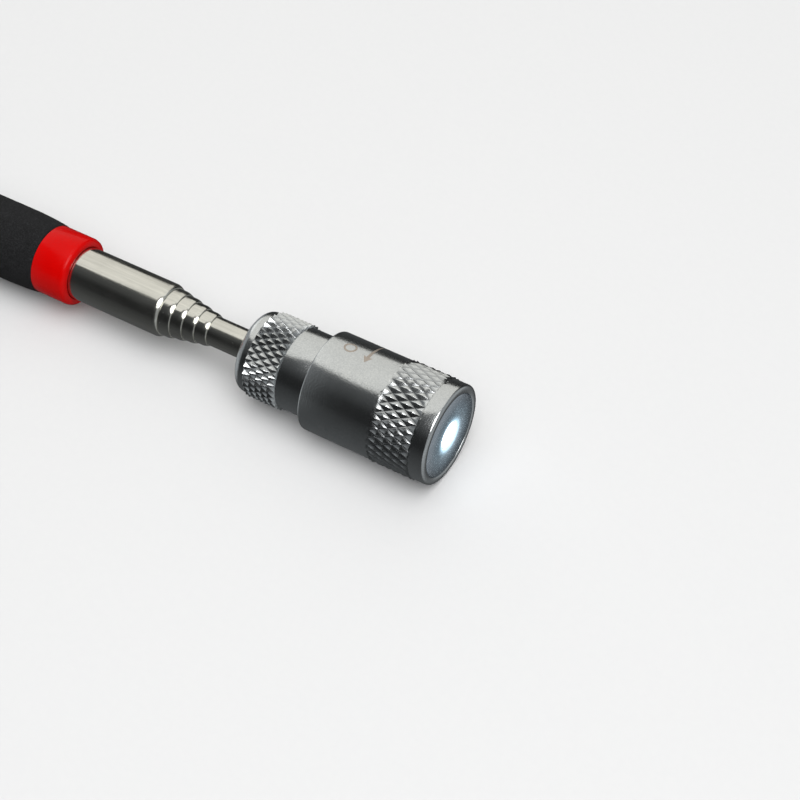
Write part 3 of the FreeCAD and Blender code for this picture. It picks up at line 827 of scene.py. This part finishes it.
# %% Etched marks
def etched():
    burn = Finish("etched_mark", Metallic=0.85)
    speck = burn.grain(0.10, 3)
    burn.feed(Base_Color=burn.mix(speck, (0.36, 0.30, 0.25), (0.50, 0.45, 0.40)), Roughness=0.34 + 0.2 * speck)
    return burn


dress(etched(), *marks)

# %% [markdown]
# ## Inside the tool
#
# The parts inside show when the mast is drawn out or the lamp is unscrewed. Each keeps its measured shape and gets
# the finish it has in life: brass strip sleeves, drawn spring wire, plated cells in a dark film, moulded black
# holder, dull rubber ring, tinned leads and a lacquered resistor with coloured bands.

# %% Finishes of the inner parts
def bare_metal(name, light, dark, rough, stretch):
    metal = Finish(name, Metallic=1.0)
    lines, cloud = metal.grain(0.15, 3, stretch), metal.grain(1.5, 3)
    metal.feed(Base_Color=metal.mix(lines * 0.4 + cloud * 0.5, light, dark), Roughness=rough + 0.16 * lines)
    metal.relief(lines * 0.003)
    return metal


def moulded(name, light, dark, rough, depth):
    stuff = Finish(name)
    fine, cloud = stuff.grain(0.14, 3), stuff.grain(1.8, 2)
    stuff.feed(Base_Color=stuff.mix(fine * 0.5 + cloud * 0.5, light, dark), Roughness=rough + 0.14 * fine)
    stuff.relief(fine * depth)
    return stuff


def banded_resistor():
    body = Finish("resistor_lacquer")
    back, front, _ = span("resistor")
    along = (body.x - back / MM) / ((front - back) / MM)
    bands = body.node("ValToRGB", {"stops": [
        (0.00, (0.60, 0.47, 0.29, 1)), (0.20, (0.35, 0.06, 0.03, 1)), (0.30, (0.60, 0.47, 0.29, 1)),
        (0.42, (0.04, 0.03, 0.03, 1)), (0.52, (0.60, 0.47, 0.29, 1)), (0.78, (0.66, 0.50, 0.12, 1)),
        (0.88, (0.60, 0.47, 0.29, 1))]}, {"Fac": along})
    body.tree.nodes[-1].color_ramp.interpolation = "CONSTANT"
    body.feed(Base_Color=bands, Roughness=0.25 + 0.1 * body.grain(0.3))
    return body


dress(bare_metal("brass_strip", (0.80, 0.60, 0.27), (0.60, 0.42, 0.16), 0.16, (0.05, 1, 1)),
      *["friction_sleeve_%d" % number for number in range(2, 7)])
dress(bare_metal("spring_wire", (0.70, 0.70, 0.70), (0.50, 0.50, 0.52), 0.18, (1, 1, 1)), "contact_spring")
dress(bare_metal("cell_can", (0.78, 0.78, 0.77), (0.62, 0.62, 0.63), 0.15, (1, 0.05, 0.05)),
      "cell_1", "cell_2", "cell_3")
dress(bare_metal("tinned_wire", (0.76, 0.77, 0.78), (0.58, 0.59, 0.61), 0.20, (0.1, 1, 1)), "led_leads")
dress(bare_metal("contact_brass", (0.82, 0.62, 0.28), (0.66, 0.47, 0.20), 0.14, (1, 0.4, 0.4)), "contact_disc")
dress(moulded("black_moulding", (0.035, 0.035, 0.036), (0.018, 0.018, 0.019), 0.42, 0.010), "led_holder")
dress(moulded("sleeve_film", (0.05, 0.05, 0.052), (0.028, 0.028, 0.03), 0.30, 0.004), "cell_sleeve")
dress(moulded("seal_rubber", (0.022, 0.022, 0.023), (0.010, 0.010, 0.011), 0.48, 0.006), "o_ring")
dress(banded_resistor(), "resistor")

# %% [markdown]
# ## Floor
#
# The floor is a pale sheet several metres wide. The tool rests on it at two places, under the back of the shell's
# knurl and under the flange of the cap, which stands higher, so the sheet leans by less than a degree to meet both.

# %% Floor
def pale_floor():
    bm = bmesh.new()
    bmesh.ops.create_grid(bm, x_segments=8, y_segments=8, size=4.0)
    front, back = SHELL_KNURL_BACK + 0.2 * MM, CAP_FACE + 1.0 * MM
    lean = math.atan2(AXIS_Z - CAP_R, front - back)
    bmesh.ops.rotate(bm, cent=(0, 0, 0), matrix=Matrix.Rotation(lean, 3, "Y"), verts=bm.verts[:])
    drop = front * math.tan(lean) - 0.03 * MM
    bmesh.ops.translate(bm, vec=(0, 0, drop), verts=bm.verts[:])
    mesh = bpy.data.meshes.new("floor")
    bm.to_mesh(mesh)
    bm.free()
    sheet = bpy.data.objects.new("floor", mesh)
    bpy.context.scene.collection.objects.link(sheet)
    sheet.visible_glossy = False
    print("floor leans %.2f degrees" % math.degrees(lean))
    return sheet


floor = pale_floor()
paper = Finish("pale_paper", Specular_IOR_Level=0.2)
fibre = paper.grain(1.2, 4)
paper.feed(Base_Color=paper.mix(fibre, (0.535, 0.535, 0.535), (0.52, 0.52, 0.524)), Roughness=0.72 + 0.1 * fibre)
dress(paper, floor)

# %% [markdown]
# ## Light
#
# Polished metal shows its surroundings, so the light is mostly about what it mirrors. One large soft panel above and
# behind gives the broad bright band along the top of every round part, with a clean lower edge. A smaller round one to
# the front puts a glint on every rolled-in end. The floor gets an even overhead light that is hidden from reflections.
# The room is pale but for one dark strip, as a studio sets up a dark card, and the floor isn't mirrored either. That
# keeps the lower sides dark under their bright bands. It is a trick of this set: real metal would mirror the floor.

# %% Soft light
def panel(name, place, target, width, height, power, colour):
    data = bpy.data.lights.new(name, "AREA")
    data.shape, data.size, data.size_y, data.energy, data.color = "RECTANGLE", width, height, power, colour
    lamp = bpy.data.objects.new(name, data)
    lamp.location = place
    lamp.rotation_euler = (Vector(target) - Vector(place)).to_track_quat("-Z", "Y").to_euler()
    bpy.context.scene.collection.objects.link(lamp)
    return lamp


HEAD = Vector((HEAD_FRONT - 12 * MM, 0.0, AXIS_Z))
key = panel("key_panel", HEAD + 0.6 * Vector((-0.347, 0.497, 0.795)), HEAD, 0.94, 1.0, 2.3, (1.0, 0.985, 0.94))
glint = panel("glint_panel", HEAD + 0.6 * Vector((0.35, -0.37, 0.86)), HEAD, 0.46, 0.46, 2.0, (1.0, 1.0, 1.0))
glint.data.shape = "DISK"
sky = bpy.data.objects.new("overhead", bpy.data.lights.new("overhead", "SUN"))
sky.data.energy, sky.data.angle = 2.8, math.radians(70)
sky.rotation_euler = Vector((-0.25, 0.30, -0.92)).to_track_quat("-Z", "Y").to_euler()
sky.visible_glossy = False
bpy.context.scene.collection.objects.link(sky)


STRIP_SHIFT, STRIP_EDGES = 0.13, (0.40, 0.62)   # where the dark strip is, along the mast's direction


def studio_room():
    """Pale surroundings with one dark strip, which the round parts mirror on their lower side."""
    world = bpy.data.worlds.new("studio_room")
    world.use_nodes = True
    nodes, links = world.node_tree.nodes, world.node_tree.links

    def add(kind, *inputs, **settings):
        made = nodes.new("ShaderNode" + kind)
        for name, value in settings.items():
            setattr(made, name, value)
        for number, value in enumerate(inputs):
            if isinstance(value, bpy.types.NodeSocket):
                links.new(value, made.inputs[number])
            elif value is not None:
                made.inputs[number].default_value = value
        return made

    def shades(height, stops):
        ramp = add("ValToRGB", height)
        for position, grey in stops[1:-1]:
            ramp.color_ramp.elements.new(position).color = (0.93 * grey, 0.97 * grey, grey, 1.0)
        for end, (position, grey) in ((0, stops[0]), (-1, stops[-1])):
            ramp.color_ramp.elements[end].color = (0.93 * grey, 0.97 * grey, grey, 1.0)
        return ramp.outputs[0]

    side = add("SeparateXYZ", add("TexCoord").outputs["Generated"])
    height = add("MapRange", side.outputs["Z"], -1.0, 1.0).outputs[0]
    shifted = add("Math", side.outputs["X"], STRIP_SHIFT, operation="ADD").outputs[0]
    away = add("Math", shifted, operation="ABSOLUTE").outputs[0]
    pale = add("MapRange", away, *STRIP_EDGES, interpolation_type="SMOOTHSTEP").outputs[0]
    dark = shades(height, [(0.0, 0.10), (0.12, 0.08), (0.35, 0.05), (0.52, 0.02), (0.70, 0.02), (0.92, 0.08),
                           (1.0, 0.12)])
    light = shades(height, [(0.0, 0.30), (0.40, 0.46), (0.50, 0.32), (0.62, 0.34), (1.0, 0.40)])
    room = add("MixRGB", pale, dark, light).outputs[0]
    seen = add("LightPath").outputs["Is Camera Ray"]
    mirrored, behind = add("Background", room), add("Background", (0.51, 0.51, 0.51, 1.0))
    choice = add("MixShader", seen, mirrored.outputs[0], behind.outputs[0])
    links.new(choice.outputs[0], nodes["World Output"].inputs[0])
    return world


world = studio_room()
bpy.context.scene.world = world
print("lights", [light.name for light in (key, glint, sky)])

# %% [markdown]
# ## Camera
#
# The camera looks down on the tool from the front right, close enough for some perspective. Its direction is two
# angles, and its place follows from where the head's rim should be in its view.

# %% Camera
def look(azimuth, elevation, across, down, ahead, lens):
    a, e = math.radians(azimuth), math.radians(elevation)
    right = Vector((math.cos(a), math.sin(a), 0.0))
    back = Vector((math.sin(a) * math.cos(e), -math.cos(a) * math.cos(e), math.sin(e)))
    up = back.cross(right)
    data = bpy.data.cameras.new("camera")
    data.lens, data.sensor_width, data.clip_start, data.clip_end = lens, 36.0, 0.01, 20.0
    camera = bpy.data.objects.new("camera", data)
    rim = Vector((HEAD_FRONT, 0.0, AXIS_Z))
    camera.location = rim - across * right + down * up + ahead * back
    camera.rotation_euler = Matrix((right, up, back)).transposed().to_euler()
    bpy.context.scene.collection.objects.link(camera)
    bpy.context.scene.camera = camera
    return camera


camera = look(30.95, 47.54, 8.449 * MM, 6.053 * MM, 333.18 * MM, 88.5)
bpy.context.scene.view_settings.view_transform = "Standard"
print("camera at", [round(value, 4) for value in camera.location])
